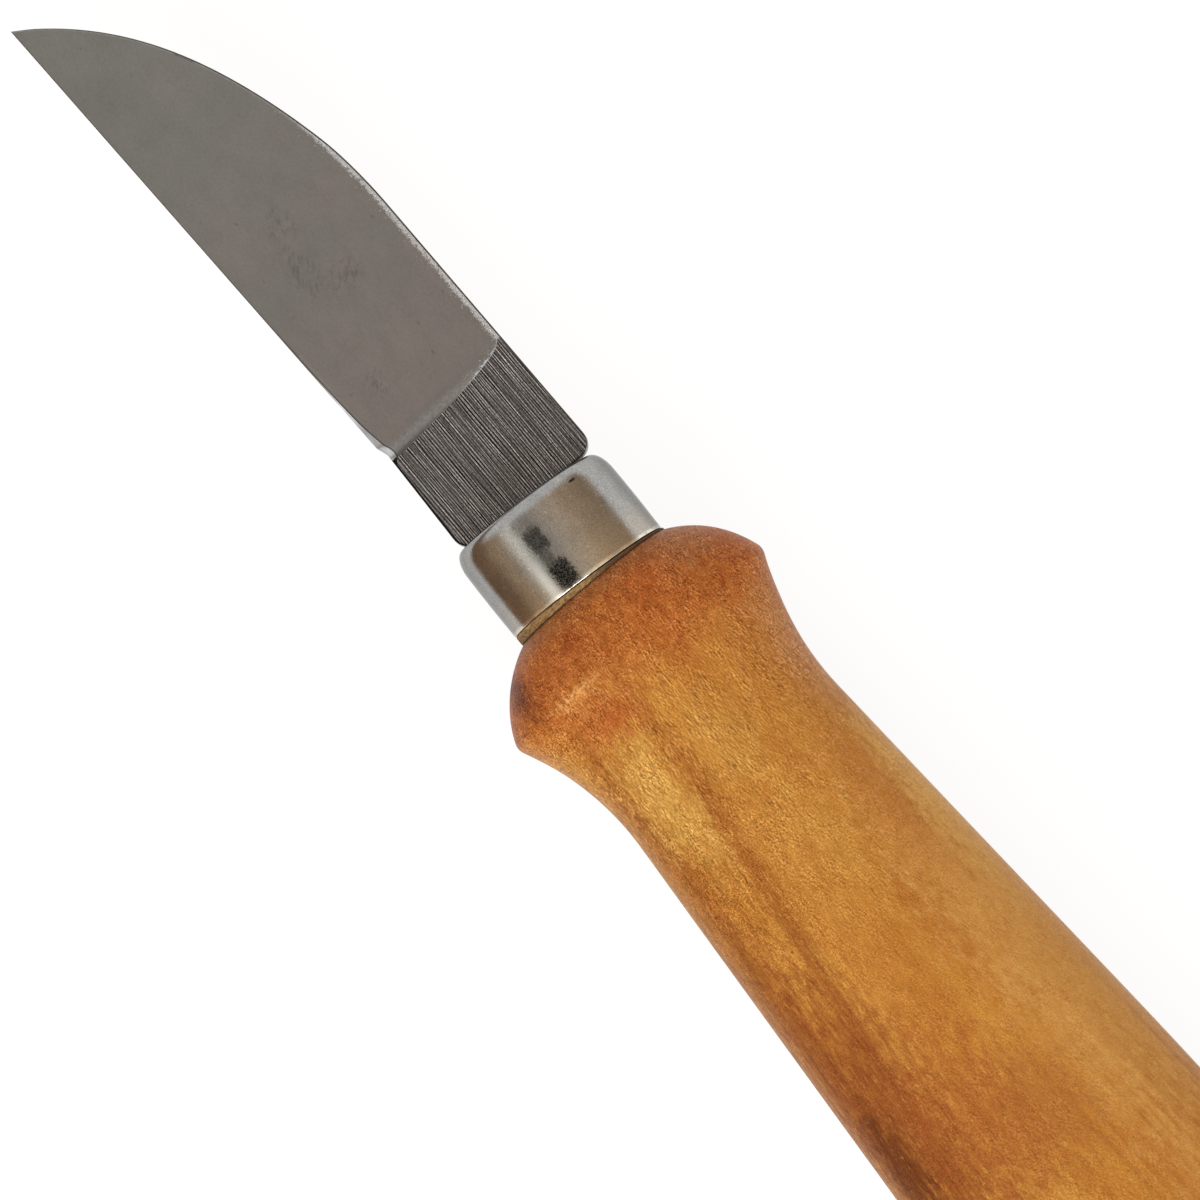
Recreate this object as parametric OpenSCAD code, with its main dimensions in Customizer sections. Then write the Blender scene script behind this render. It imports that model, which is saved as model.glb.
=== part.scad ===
// Wood carving knife with a short straight-edged blade, lying on its side.
// X runs along the knife from the tip to the butt, Y points to the spine and Z is up.
// The origin is under the middle of the knife, on the surface that it lies on.

/* [Blade] */
// Length of the blade in front of the ferrule
blade_len = 50; // [38:0.5:70]
// Thickness of the steel
blade_t = 2.2; // [1.4:0.1:3.2]
// Height of the spine above the handle's axis, at the ferrule
spine_h = 6.55; // [5:0.05:7.5]
// Angle at which the spine falls towards the point
spine_angle = 0.9; // [0:0.1:3]
// Depth of the unground heel's lower edge below the axis
ricasso_drop = 5.4; // [4.4:0.1:7]
// Length of the unground heel along the cutting edge's side
ricasso_len = 10; // [6:0.5:16]
// Length of the small step between the cutting edge and the unground heel
heel_step = 1.1; // [0.6:0.1:3]
// Rounding of that step's two bends
heel_r = 0.7; // [0.2:0.1:2]
// Depth of the cutting edge's rear end below the axis
heel_drop = 5.62; // [4.6:0.02:8]
// Depth of the tip below the axis
tip_drop = 6.76; // [4:0.02:9]
// Length of the point, over which the spine curves down to the tip
point_len = 27; // [12:0.5:30]
// How far the ellipse of that curve would run on past the tip
point_extra = 3; // [1:0.5:15]
// Rounding of the two rear corners at the ferrule
shoulder_r = 1; // [0.2:0.1:2]

/* [Bevels] */
// Thickness that the main bevels leave at the edge, before honing
edge_t = 0.1; // [0.06:0.02:0.4]
// Width of the strip below the spine that the main bevels leave flat
spine_land = 0.35; // [0.1:0.05:3]
// Radius of the wheel's corner, which shapes the end of the main bevels
plunge_r = 1.9; // [1.5:0.1:4]
// Angle of the honed bevel on each side
hone_angle = 20; // [12:1:35]
// Thickness of the honed edge
hone_t = 0.02; // [0.01:0.01:0.05]

/* [Tang] */
// Length of the tang behind the ferrule's front
tang_len = 46; // [25:1:80]
// Width of the tang at its root
tang_w = 6; // [4:0.1:8]
// Width of the tang at its end
tang_end_w = 4; // [2:0.1:7]
// Thickness of the tang
tang_t = 1.8; // [1:0.1:3]
// Bevel on the two corners of the tang's end
tang_bevel = 1; // [0.2:0.1:2]
// Room for glue between the tang's corners and the drilled hole
glue_gap = 0.15; // [0.05:0.05:0.5]
// Depth of the drilled hole behind the tang's end
hole_extra = 2; // [0.5:0.5:6]

/* [Ferrule] */
// Outer diameter of the ferrule
ferrule_d = 13.14; // [12.6:0.02:17]
// Length of the ferrule
ferrule_len = 7.3; // [5:0.1:14]
// Wall of the ferrule
ferrule_wall = 0.8; // [0.4:0.1:1.2]
// Rounding of the ferrule's front edge
ferrule_round = 1.6; // [0.6:0.1:2.4]
// Clearance between the tang and the ferrule's slot
slot_gap = 0.1; // [0.05:0.05:0.4]

/* [Handle] */
// Length of the handle behind the ferrule
handle_len = 112.7; // [104:0.1:150]
// Length of the bare ring of wood behind the ferrule
ring_len = 0.46; // [0.2:0.02:2]
// Distance from the ferrule to the ridge
ridge_x = 5.9; // [4.5:0.1:9]
// Width of the handle at the ridge
ridge_w = 22.8; // [19:0.1:27]
// Thickness of the handle at the ridge
ridge_t = 17.4; // [15:0.1:24]
// Radius of the dome between the bare ring and the ridge
dome_r = 8.2; // [5.5:0.1:30]
// Length of the hollow flare behind the ridge
flare_len = 11; // [6:0.5:16]
// Distance from the ferrule to the waist
waist_x = 14.7; // [12:0.1:24]
// Width of the handle at the waist
waist_w = 18; // [15:0.1:22]
// Thickness of the handle at the waist
waist_t = 16.6; // [13:0.1:21]
// Length of the straight flanks behind the waist
flank_len = 32; // [10:1:50]
// Distance from the ferrule to the belly
belly_x = 82.7; // [70:0.1:95]
// Width of the handle at the belly
belly_w = 24.5; // [23:0.1:32]
// Thickness of the handle at the belly
belly_t = 20; // [17:0.1:27]
// How full the handle's oval section is, where 2 is an ellipse
section_power = 2.3; // [2:0.1:3.5]
// How full the rounded butt is, where 2 is an ellipse
butt_power = 2.5; // [2:0.1:4]

/* [Hidden] */
$fn = 96;

// Steps along each stretch of the handle, and around its section
dome_steps = 12;
flare_steps = 12;
flank_steps = 12;
butt_steps = 12;
section_sides = 48;
// Steps along the curve of the point and around each rounded corner
point_steps = 36;
corner_steps = 8;

// How far a cutter reaches past what it cuts, and how deep the tenon and the tang start in their own pieces
reach = blade_len + ricasso_len;
tenon_root = 2 * ferrule_wall;
tang_root = blade_t;

// The knife is centred along X and lies on its belly
mid_x = (ferrule_len + handle_len - blade_len) / 2;
axis_z = belly_t / 2;

// Places on the blade's outline, from the ferrule's front
heel = [-ricasso_len, -heel_drop];
tip = [-blade_len, -tip_drop];
edge_angle = atan((tip_drop - heel_drop) / (blade_len - ricasso_len));
point_x = point_len - blade_len;
point_drop = spine_y(tip.x) - tip.y;
point_a = point_len + point_extra;
point_b = point_drop / (1 - cos(asin(point_len / point_a)));
ground_h = (spine_y(heel.x) - heel.y) * cos(edge_angle) - spine_land;
grind_angle = atan((blade_t - edge_t) / 2 / ground_h);

// What the ferrule, the tenon, the tang and its hole share
bore_r = ferrule_d / 2 - ferrule_wall;
bore_round = max(ferrule_round - ferrule_wall, 0.1);
hole_r = norm([tang_w, tang_t]) / 2 + glue_gap;
hole_end = tang_len + hole_extra;

// The dome is an arc from the bare ring to the ridge
ring_r = ferrule_d / 2;
dome_from = [ring_len, ring_r];
dome_to = [ridge_x, ridge_w / 2];
dome_chord = dome_to - dome_from;
dome_depth = sqrt(dome_r * dome_r - dome_chord * dome_chord / 4);
dome_side = [dome_chord.y, -dome_chord.x] / norm(dome_chord);
dome_centre = (dome_from + dome_to) / 2 + dome_side * dome_depth;

ease_len = belly_x - waist_x - flank_len;
butt_len = handle_len - belly_x;

function spine_y(x) = spine_h + x * tan(spine_angle);

// The curve of the point, a stretch of an ellipse that leaves the spine smoothly and ends at the tip
function point_curve() = [
    for (i = [0 : point_steps])
        let (a = asin(point_len / point_a) * i / point_steps)
        let (x = point_x - point_a * sin(a))
        [x, spine_y(x) - point_b * (1 - cos(a))]
];

// An arc that rounds the corner at b between a and c, limited by the sides' lengths
function corner(a, b, c, r) =
    let (u = (a - b) / norm(a - b))
    let (v = (c - b) / norm(c - b))
    let (half = acos(u * v) / 2)
    let (cut = min(r / tan(half), norm(a - b) / 2, norm(c - b) / 2))
    let (centre = b + (u + v) / norm(u + v) * cut / cos(half))
    let (from = b + u * cut - centre)
    let (to = b + v * cut - centre)
    let (from_a = atan2(from.y, from.x))
    let (turn = atan2(from.x * to.y - from.y * to.x, from * to))
    [for (i = [0 : corner_steps]) centre + norm(from) * [
        cos(from_a + turn * i / corner_steps),
        sin(from_a + turn * i / corner_steps)
    ]];

function tang_outline() = [
    [-tang_root, -tang_w / 2],
    [0, -tang_w / 2],
    [tang_len - tang_bevel, -tang_end_w / 2],
    [tang_len, tang_bevel - tang_end_w / 2],
    [tang_len, tang_end_w / 2 - tang_bevel],
    [tang_len - tang_bevel, tang_end_w / 2],
    [0, tang_w / 2],
    [-tang_root, tang_w / 2]
];

// Once round the blade: along its edge, over the step, round the shoulders and back by the spine
function blade_outline() =
    let (low = -ricasso_drop)
    let (step_end = [heel.x + heel_step, low])
    let (low_corner = [0, low])
    let (high_corner = [0, spine_h])
    concat(
        corner(tip, heel, step_end, heel_r),
        corner(heel, step_end, low_corner, heel_r),
        corner(step_end, low_corner, high_corner, shoulder_r),
        corner(low_corner, high_corner, [point_x, spine_y(point_x)], shoulder_r),
        point_curve()
    );

// Half a size across the handle behind the ridge: straight flanks that ease into the belly
function flank(x, waist, belly) =
    let (slope = (belly - waist) / (2 * flank_len + ease_len))
    let (run = min(x, belly_x) - waist_x)
    let (over = max(0, run - flank_len))
    waist / 2 + slope * (run - over * over / (2 * ease_len));

// The same with the hollow flare that rises to the ridge
function flared(x, ridge, waist, belly) =
    let (rise = ridge / 2 - flank(ridge_x, waist, belly))
    flank(x, waist, belly) + rise * pow(max(0, 1 - (x - ridge_x) / flare_len), 2);

// The dome's half width, which its half thickness follows in proportion
function dome(x, ridge) =
    let (w = dome_centre.y + sqrt(max(0, dome_r * dome_r - pow(x - dome_centre.x, 2))))
    ring_r + (w - ring_r) * (ridge / 2 - ring_r) / (ridge_w / 2 - ring_r);

// How much of the belly's size is left towards the butt's end
function butt(x) = sqrt(1 - pow(max(0, (x - belly_x) / butt_len), butt_power));

function half_size(x, ridge, waist, belly) =
    x <= ring_len ? ring_r :
    x < ridge_x ? dome(x, ridge) :
    flared(x, ridge, waist, belly) * butt(x);

function signed_power(v, p) = sign(v) * pow(abs(v), p);

// The handle's section at x, round at the bare ring and full behind the ridge
function section(x) =
    let (grown = max(0, min(1, (x - ring_len) / (ridge_x - ring_len))))
    let (p = 2 / (2 + (section_power - 2) * grown))
    let (w = half_size(x, ridge_w, waist_w, belly_w))
    let (t = half_size(x, ridge_t, waist_t, belly_t))
    [for (k = [0 : section_sides - 1])
        let (a = 360 * k / section_sides)
        [x, w * signed_power(cos(a), p), t * signed_power(sin(a), p)]];

// Where the handle's sections stand, closer together where it curves more
function stations() = concat(
    [0],
    [for (i = [0 : dome_steps]) ring_len + (ridge_x - ring_len) * pow(i / dome_steps, 1.4)],
    [for (i = [1 : flare_steps]) ridge_x + flare_len * i / flare_steps],
    [for (i = [1 : flank_steps])
        ridge_x + flare_len + (belly_x - ridge_x - flare_len) * i / flank_steps],
    [for (i = [1 : butt_steps - 1]) belly_x + butt_len * pow(sin(90 * i / butt_steps), 2 / butt_power)]
);

// Sets a sub-part into the part's frame from the knife's own axis, with the ferrule's front at x = 0
module on_axis() {
    translate([-mid_x, 0, axis_z]) children();
}

// A solid of revolution along X from x = 0 to len, with its front edge rounded
module plug(r, len, round_r) {
    rotate([0, 90, 0]) rotate_extrude() {
        translate([0, round_r]) square([r, len - round_r]);
        square([r - round_r, len]);
        intersection() {
            translate([r - round_r, round_r]) circle(r = round_r);
            square([r, len]);
        }
    }
}

// Half space above one main bevel, with the wheel's corner at its end
module grind_cutter() {
    translate([heel.x, heel.y, edge_t / 2]) rotate([0, 0, edge_angle]) rotate([grind_angle, 0, 0]) {
        translate([-2 * reach, -reach, 0]) cube([2 * reach, 2 * reach, reach]);
        translate([0, reach, plunge_r]) rotate([90, 0, 0]) cylinder(r = plunge_r, h = 2 * reach);
    }
}

// Half space above one honed bevel, which runs out over the step
module hone_cutter() {
    translate([heel.x, heel.y, hone_t / 2]) rotate([0, 0, edge_angle]) rotate([hone_angle, 0, 0])
        translate([-2 * reach, -reach, 0]) cube([2 * reach + heel_step, 2 * reach, reach]);
}

module tang() {
    linear_extrude(height = tang_t, center = true) polygon(tang_outline());
}

module blade() {
    color("dimgray") on_axis() {
        difference() {
            linear_extrude(height = blade_t, center = true) polygon(blade_outline());
            for (side = [0, 1]) mirror([0, 0, side]) {
                grind_cutter();
                hone_cutter();
            }
        }
        tang();
    }
}

module ferrule() {
    color("silver") on_axis() difference() {
        plug(ferrule_d / 2, ferrule_len, ferrule_round);
        translate([ferrule_wall, 0, 0]) plug(bore_r, ferrule_len, bore_round);
        cube([4 * ferrule_wall, tang_w + 2 * slot_gap, tang_t + 2 * slot_gap], center = true);
    }
}

// The handle's outer form, lofted from its sections, from the ferrule's rear end to the butt
module handle_form() {
    xs = stations();
    n = section_sides;
    last = (len(xs) - 1) * n;
    points = concat([for (x = xs) each section(x)], [[handle_len, 0, 0]]);
    walls = [
        for (i = [0 : len(xs) - 2])
            for (k = [0 : n - 1])
                let (a = i * n + k)
                let (b = i * n + (k + 1) % n)
                each [[a, a + n, b], [b, a + n, b + n]]
    ];
    front = [[for (k = [0 : n - 1]) k]];
    back = [for (k = [0 : n - 1]) [last + k, last + n, last + (k + 1) % n]];
    polyhedron(points, concat(front, walls, back));
}

module handle() {
    color("peru") on_axis() difference() {
        union() {
            translate([ferrule_len, 0, 0]) handle_form();
            translate([ferrule_wall, 0, 0])
                plug(bore_r, ferrule_len - ferrule_wall + tenon_root, bore_round);
        }
        rotate([0, 90, 0]) cylinder(r = hole_r, h = hole_end);
    }
}

module tang_adhesive() {
    color("khaki") on_axis() difference() {
        translate([ferrule_wall, 0, 0]) rotate([0, 90, 0]) cylinder(r = hole_r, h = hole_end - ferrule_wall);
        tang();
    }
}

blade();
ferrule();
handle();
tang_adhesive();
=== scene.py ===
"""Looks of a short wood carving knife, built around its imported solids.

Lengths are in millimetres on the knife's own axis: x runs from the ferrule's front to the butt,
y points to the spine and z is up. add_piece() sets them into the row frame, in metres.
Colours of wood and glue are 8-bit sRGB and pass through srgb(). All other colours are linear values.
"""

import math
from functools import partialmethod, reduce

import bmesh
import bpy
import numpy as np
from mathutils import Matrix, Vector


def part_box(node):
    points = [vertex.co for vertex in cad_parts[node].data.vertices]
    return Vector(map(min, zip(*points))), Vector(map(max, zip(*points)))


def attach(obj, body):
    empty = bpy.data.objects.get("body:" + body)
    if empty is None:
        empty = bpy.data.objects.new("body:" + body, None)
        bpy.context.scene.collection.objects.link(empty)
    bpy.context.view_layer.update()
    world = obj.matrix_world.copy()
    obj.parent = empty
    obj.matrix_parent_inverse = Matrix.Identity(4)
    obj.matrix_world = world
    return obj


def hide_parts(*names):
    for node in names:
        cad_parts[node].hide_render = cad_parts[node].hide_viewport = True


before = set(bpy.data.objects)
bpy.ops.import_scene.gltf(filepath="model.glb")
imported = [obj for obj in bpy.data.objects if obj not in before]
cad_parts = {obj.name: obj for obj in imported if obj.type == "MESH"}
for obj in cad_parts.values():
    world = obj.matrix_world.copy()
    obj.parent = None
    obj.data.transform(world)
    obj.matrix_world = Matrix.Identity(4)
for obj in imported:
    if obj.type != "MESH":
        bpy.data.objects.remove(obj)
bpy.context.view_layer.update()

# The frame's own sizes

MM = 0.001
ferrule_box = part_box("ferrule")
blade_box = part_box("blade")
handle_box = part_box("handle")
AXIS_ORIGIN = Vector((ferrule_box[0].x, 0, (ferrule_box[0].z + ferrule_box[1].z) / 2))


def from_front(row_x):
    """Millimetres behind the ferrule's front."""
    return (row_x - AXIS_ORIGIN.x) / MM


TIP_X, TANG_END = [from_front(corner.x) for corner in blade_box]
FERRULE_LEN = from_front(ferrule_box[1].x)
FERRULE_R = (ferrule_box[1].y - ferrule_box[0].y) / 2 / MM
HANDLE_LEN = from_front(handle_box[1].x) - FERRULE_LEN
BELLY_W = (handle_box[1].y - handle_box[0].y) / MM
BELLY_T = (handle_box[1].z - handle_box[0].z) / MM

# The blade's sizes

BLADE_T = 2.2
SPINE_H = 6.55
SPINE_SLOPE = math.tan(math.radians(0.9))
TIP_Y = -6.76
HEEL_X, HEEL_Y = -10.0, -5.62
STEP_LEN = 1.1
RICASSO_FRONT_Y, RICASSO_REAR_Y = -5.32, -5.55
SHOULDER_R = 1.25
POINT_LEN, POINT_EXTRA = 27.0, 3.0
SWELL, SWELL_X, SWELL_LEN = 0.11, -46.0, 24.0
SWELL_RISE, SWELL_FADE, SWELL_END = 1.0, -31.0, -27.0
EDGE_T = 0.1
SPINE_LAND = 0.35
PLUNGE_R = 1.9
HONE_T = 0.02
HONE_LEAST, HONE_AT_HEEL, HONE_DOUBLING = 0.06, 0.42, 1.6
RICASSO_ROUND = 0.16
SPINE_ROUND = 0.12
TANG_W, TANG_END_W, TANG_T, TANG_BEVEL, TANG_ROOT = 6.0, 4.0, 1.8, 1.0, 2.2

# The ferrule's sizes

FERRULE_WALL = 0.8
FERRULE_ROUND, FERRULE_ROUND_LEN = 0.85, 1.8
BORE_ROUND = 0.4
FERRULE_CROWN = 0.03
FERRULE_SKEW, FERRULE_LEAN = 0.045, -0.016
LIP_R = 0.13
SLOT_GAP = 0.1

# The handle's sizes, with x from the ferrule's rear

SEAM_GAP = 0.03
RING_R = 6.58
RING_LEN = 0.46
RIDGE_X, RIDGE_W, RIDGE_T = 6.0, 22.8, 17.4
RIDGE_SOFT = 0.4
RIDGE_LEAN, RIDGE_LEAN_LEN = -0.10, 4.0
NECK_LEAN, NECK_LEAN_END = -0.12, 90.0
DOME_R = 9.0
FLARE_LEN = 11.0
WAIST_X, WAIST_W, WAIST_T = 14.7, 18.0, 16.6
FLANK_LEN = 32.0
BELLY_X = 82.7
SECTION_POWER, BUTT_POWER = 2.3, 2.5
HOLE_R, HOLE_END = 3.28, 48.0
TENON_R, TENON_ROUND = FERRULE_R - FERRULE_WALL, 0.8

# Meshes

WELD_DISTANCE = 1e-6
SHARP_ANGLE = math.radians(28)


def linked(name, data):
    thing = bpy.data.objects.new(name, data)
    bpy.context.scene.collection.objects.link(thing)
    return thing


def add_piece(name, node, points, faces, materials, face_material, attributes):
    """A welded piece in place of a CAD node, from points in millimetres on the knife's axis."""
    mesh = bpy.data.meshes.new(name)
    placed = np.asarray(points, float) * MM + np.array(AXIS_ORIGIN)
    mesh.from_pydata(placed.tolist(), [], faces)
    for material in materials:
        mesh.materials.append(material)
    mesh.polygons.foreach_set("material_index", np.asarray(face_material, np.int32))
    for key, values in attributes.items():
        layer = mesh.attributes.new(key, "FLOAT", "POINT")
        layer.data.foreach_set("value", np.asarray(values, np.float32))
    work = bmesh.new()
    work.from_mesh(mesh)
    bmesh.ops.remove_doubles(work, verts=work.verts, dist=WELD_DISTANCE)
    bmesh.ops.recalc_face_normals(work, faces=work.faces)
    work.to_mesh(mesh)
    work.free()
    mesh.shade_smooth()
    mesh.set_sharp_from_angle(angle=SHARP_ANGLE)
    piece = linked(name, mesh)
    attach(piece, "root")
    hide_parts(node)


def grid_faces(rows, sides, start=0, wrap_rows=False, wrap_sides=True):
    """Quads over a grid of points that is stored row by row."""
    last_row = rows if wrap_rows else rows - 1
    last_side = sides if wrap_sides else sides - 1
    faces = []
    for i in range(last_row):
        for k in range(last_side):
            a, b = start + i * sides, start + (i + 1) % rows * sides
            m = (k + 1) % sides
            faces.append((a + k, a + m, b + m, b + k))
    return faces


# The blade

BLADE_HALF = BLADE_T / 2
EDGE_ANGLE = math.atan((HEEL_Y - TIP_Y) / (HEEL_X - TIP_X))
POINT_X = TIP_X + POINT_LEN
POINT_A = POINT_LEN + POINT_EXTRA
POINT_B = (SPINE_H + TIP_X * SPINE_SLOPE - TIP_Y) / (1 - math.cos(math.asin(POINT_LEN / POINT_A)))
GROUND_H = (SPINE_H + HEEL_X * SPINE_SLOPE - HEEL_Y) * math.cos(EDGE_ANGLE) - SPINE_LAND
GRIND_ANGLE = math.atan((BLADE_T - EDGE_T) / 2 / GROUND_H)
STEP_END = HEEL_X + STEP_LEN

# Rows from the edge to the spine. Each is a share of the honed or rounded band at the edge, of the
# blade's height, of the strip below the spine and of the rounding of the spine.
EDGE_STEPS = (0, 0.06, 0.16, 0.32, 0.55, 0.8, 1)
FACE_STEPS = 30
LAND_STEPS = (0.75, 0.5, 0.25)
ROUND_STEPS = (1, 0.65, 0.38, 0.18, 0.06, 0)
ROWS = np.array(
    [(s, 0, 0, 0) for s in EDGE_STEPS]
    + [(1 - m / FACE_STEPS, m / FACE_STEPS, -m / FACE_STEPS, 0) for m in range(1, FACE_STEPS + 1)]
    + [(0, 1, -s, s - 1) for s in LAND_STEPS]
    + [(0, 1, 0, -s) for s in ROUND_STEPS]
)
HONE_ROWS = len(EDGE_STEPS) - 1
FIRST_ROUND_ROW = len(ROWS) - len(ROUND_STEPS)
RICASSO_COLUMNS, WALL_COLUMNS, POINT_COLUMNS = 40, 14, 150
TIP_CROWDING = 1.15
SOLVER_ROUNDS = 40
TINY = 1e-9

# Most that the band at the edge and the rounding of the spine take of the blade's height
EDGE_SHARE, RIM_SHARE = 0.3, 0.1

# Height of the strip below the spine: at least so many roundings of it, and at most so many millimetres
LAND_RIMS, LAND_MOST = 1.2, 1.0

# The blade's materials, in their order
GROUND, HEEL, HONED, RIM = range(4)
TANG_CORNERS = 8


def smooth(value, low, high):
    """0 below low, 1 above high and an even rise between."""
    s = np.clip((value - low) / (high - low), 0, 1)
    return s * s * (3 - 2 * s)


def corner_drop(x):
    """How far the rounded rear corners have drawn in at x."""
    return SHOULDER_R - np.sqrt(np.maximum(0, SHOULDER_R**2 - np.maximum(0, x + SHOULDER_R) ** 2))


def lower_outline(x):
    edge = HEEL_Y + (x - HEEL_X) * math.tan(EDGE_ANGLE)
    ricasso_slope = (RICASSO_REAR_Y - RICASSO_FRONT_Y) / -STEP_END
    ricasso = RICASSO_FRONT_Y + (x - STEP_END) * ricasso_slope
    step = smooth(x, HEEL_X, STEP_END)
    return edge + (ricasso - edge) * step + corner_drop(x)


def upper_outline(x):
    """An ellipse's quarter at the point, a little fuller near the tip and flatter behind, and the spine."""
    turn = np.arcsin(np.clip((POINT_X - x) / POINT_A, 0, 1))
    swell = SWELL * np.cos(2 * np.pi * (x - SWELL_X) / SWELL_LEN)
    swell = swell * smooth(x, TIP_X, TIP_X + SWELL_RISE) * smooth(-x, -SWELL_END, -SWELL_FADE)
    return SPINE_H + x * SPINE_SLOPE - POINT_B * (1 - np.cos(turn)) - corner_drop(x) + swell


def edge_frame(x, y):
    """Distances behind the heel along the edge, and above the edge."""
    c, s = math.cos(EDGE_ANGLE), math.sin(EDGE_ANGLE)
    return (x - HEEL_X) * c + (y - HEEL_Y) * s, (y - HEEL_Y) * c - (x - HEEL_X) * s


def face_half(x, y):
    """Half the blade's thickness: the main bevel, the wheel's corner at its end and the flat heel."""
    behind, above = edge_frame(x, y)
    inside = np.clip(behind, 0, PLUNGE_R)
    wall = PLUNGE_R - np.sqrt(PLUNGE_R**2 - inside**2)
    ground = EDGE_T / 2 + np.maximum(0, above) * math.tan(GRIND_ANGLE) + wall / math.cos(GRIND_ANGLE)
    return np.where(behind >= PLUNGE_R, BLADE_HALF, np.minimum(BLADE_HALF, ground))


def plunge_x(x, y):
    """Where the main bevel ends, at the height of a nearby point."""
    _, above = edge_frame(x, y)
    left = (BLADE_HALF - EDGE_T / 2 - above * math.tan(GRIND_ANGLE)) * math.cos(GRIND_ANGLE)
    left = np.clip(left, 0, PLUNGE_R)
    behind = np.sqrt(PLUNGE_R**2 - (PLUNGE_R - left) ** 2)
    return HEEL_X + (behind - (y - HEEL_Y) * math.sin(EDGE_ANGLE)) / math.cos(EDGE_ANGLE)


def bevel_end_x(x, y):
    """Where the flat of the main bevel ends and the wheel's corner starts."""
    return HEEL_X - (y - HEEL_Y) * math.tan(EDGE_ANGLE)


# Where the honed strip ends, and how it turns into the heel's rounded edge
FACET_NEAR = (-8.4, RICASSO_FRONT_Y + 0.6)
FACET_END = float(plunge_x(*FACET_NEAR))
FACET_BLEND = 0.1
BAND_START, BAND_END = FACET_END - 0.05, FACET_END + 0.3


def edge_band(x):
    """Width of the honed strip in front of the heel and of the rounded edge behind it."""
    hone = HONE_LEAST + HONE_AT_HEEL * 2 ** (np.minimum(x - HEEL_X, 0) / HONE_DOUBLING)
    return hone + (RICASSO_ROUND - hone) * smooth(x, BAND_START, BAND_END)


def edge_width(x):
    """The same, held to a share of the blade's height near the tip."""
    return np.minimum(edge_band(x), EDGE_SHARE * (upper_outline(x) - lower_outline(x)))


def spine_rim(height):
    """Height of the spine's rounding where the blade is this high."""
    return np.minimum(SPINE_ROUND, RIM_SHARE * height)


def row_offsets(x):
    """Height of each row above the lower outline, where x has one column per row."""
    height = upper_outline(x) - lower_outline(x)
    band = edge_width(x)
    rim = spine_rim(height)
    ahead = np.minimum(x, HEEL_X) - HEEL_X
    land_y = HEEL_Y + (GROUND_H + ahead * math.sin(EDGE_ANGLE)) / math.cos(EDGE_ANGLE)
    land = np.clip(upper_outline(np.minimum(x, HEEL_X)) - land_y, LAND_RIMS * rim, LAND_MOST)
    return ROWS[:, 0] * band + ROWS[:, 1] * height + ROWS[:, 2] * land + ROWS[:, 3] * rim


def on_line(line):
    """The x of each row where it meets a line across the blade."""
    x = np.full(len(ROWS), HEEL_X)
    for _ in range(SOLVER_ROUNDS):
        x = line(x, lower_outline(x) + row_offsets(x))
    return x


def blade_columns():
    """The x of every point on one side, by column from the ferrule to the tip."""
    plunge = on_line(plunge_x)
    bevel_end = np.minimum(on_line(bevel_end_x), plunge)
    ricasso = [plunge * (1 - math.cos(math.pi / 2 * i / RICASSO_COLUMNS)) for i in range(RICASSO_COLUMNS)]
    wall = [plunge + (bevel_end - plunge) * i / WALL_COLUMNS for i in range(WALL_COLUMNS)]
    share = [1 - (1 - i / POINT_COLUMNS) ** TIP_CROWDING for i in range(POINT_COLUMNS + 1)]
    point = [bevel_end + (TIP_X - bevel_end) * s for s in share]
    return np.array(ricasso + wall + point), plunge


def quarter(share):
    """A quarter circle's rise from 0 to 1."""
    return np.sqrt(np.clip(1 - (1 - np.clip(share, 0, 1)) ** 2, 0, 1))


def blade_half(x, offset):
    """Half the thickness with the honed edge and the rounded edges of heel and spine."""
    low, high = lower_outline(x), upper_outline(x)
    height = np.maximum(high - low, TINY)
    band = np.maximum(edge_width(x), TINY)
    half = face_half(x, low + np.maximum(offset, band))
    share = np.clip(offset / band, 0, 1)
    heel = smooth(x, FACET_END - FACET_BLEND, FACET_END + FACET_BLEND)
    rise = share + (quarter(share) - share) * heel
    widened = smooth(x, HEEL_X, FACET_END + FACET_BLEND)
    edge = HONE_T / 2 + (BLADE_HALF - RICASSO_ROUND - HONE_T / 2) * widened
    half = np.minimum(edge, half) + (half - np.minimum(edge, half)) * rise
    rim = np.maximum(spine_rim(height), TINY)
    half = half - np.minimum(SPINE_ROUND, half / 2) * (1 - quarter((height - offset) / rim))
    return half - RICASSO_ROUND * (1 - quarter(-x / RICASSO_ROUND))


def tang_points():
    half = [
        (-TANG_ROOT, TANG_W / 2), (0, TANG_W / 2),
        (TANG_END - TANG_BEVEL, TANG_END_W / 2), (TANG_END, TANG_END_W / 2 - TANG_BEVEL),
    ]
    outline = [(x, -y) for x, y in half] + half[::-1]
    return [(x, y, side * TANG_T / 2) for side in (-1, 1) for x, y in outline]


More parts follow.
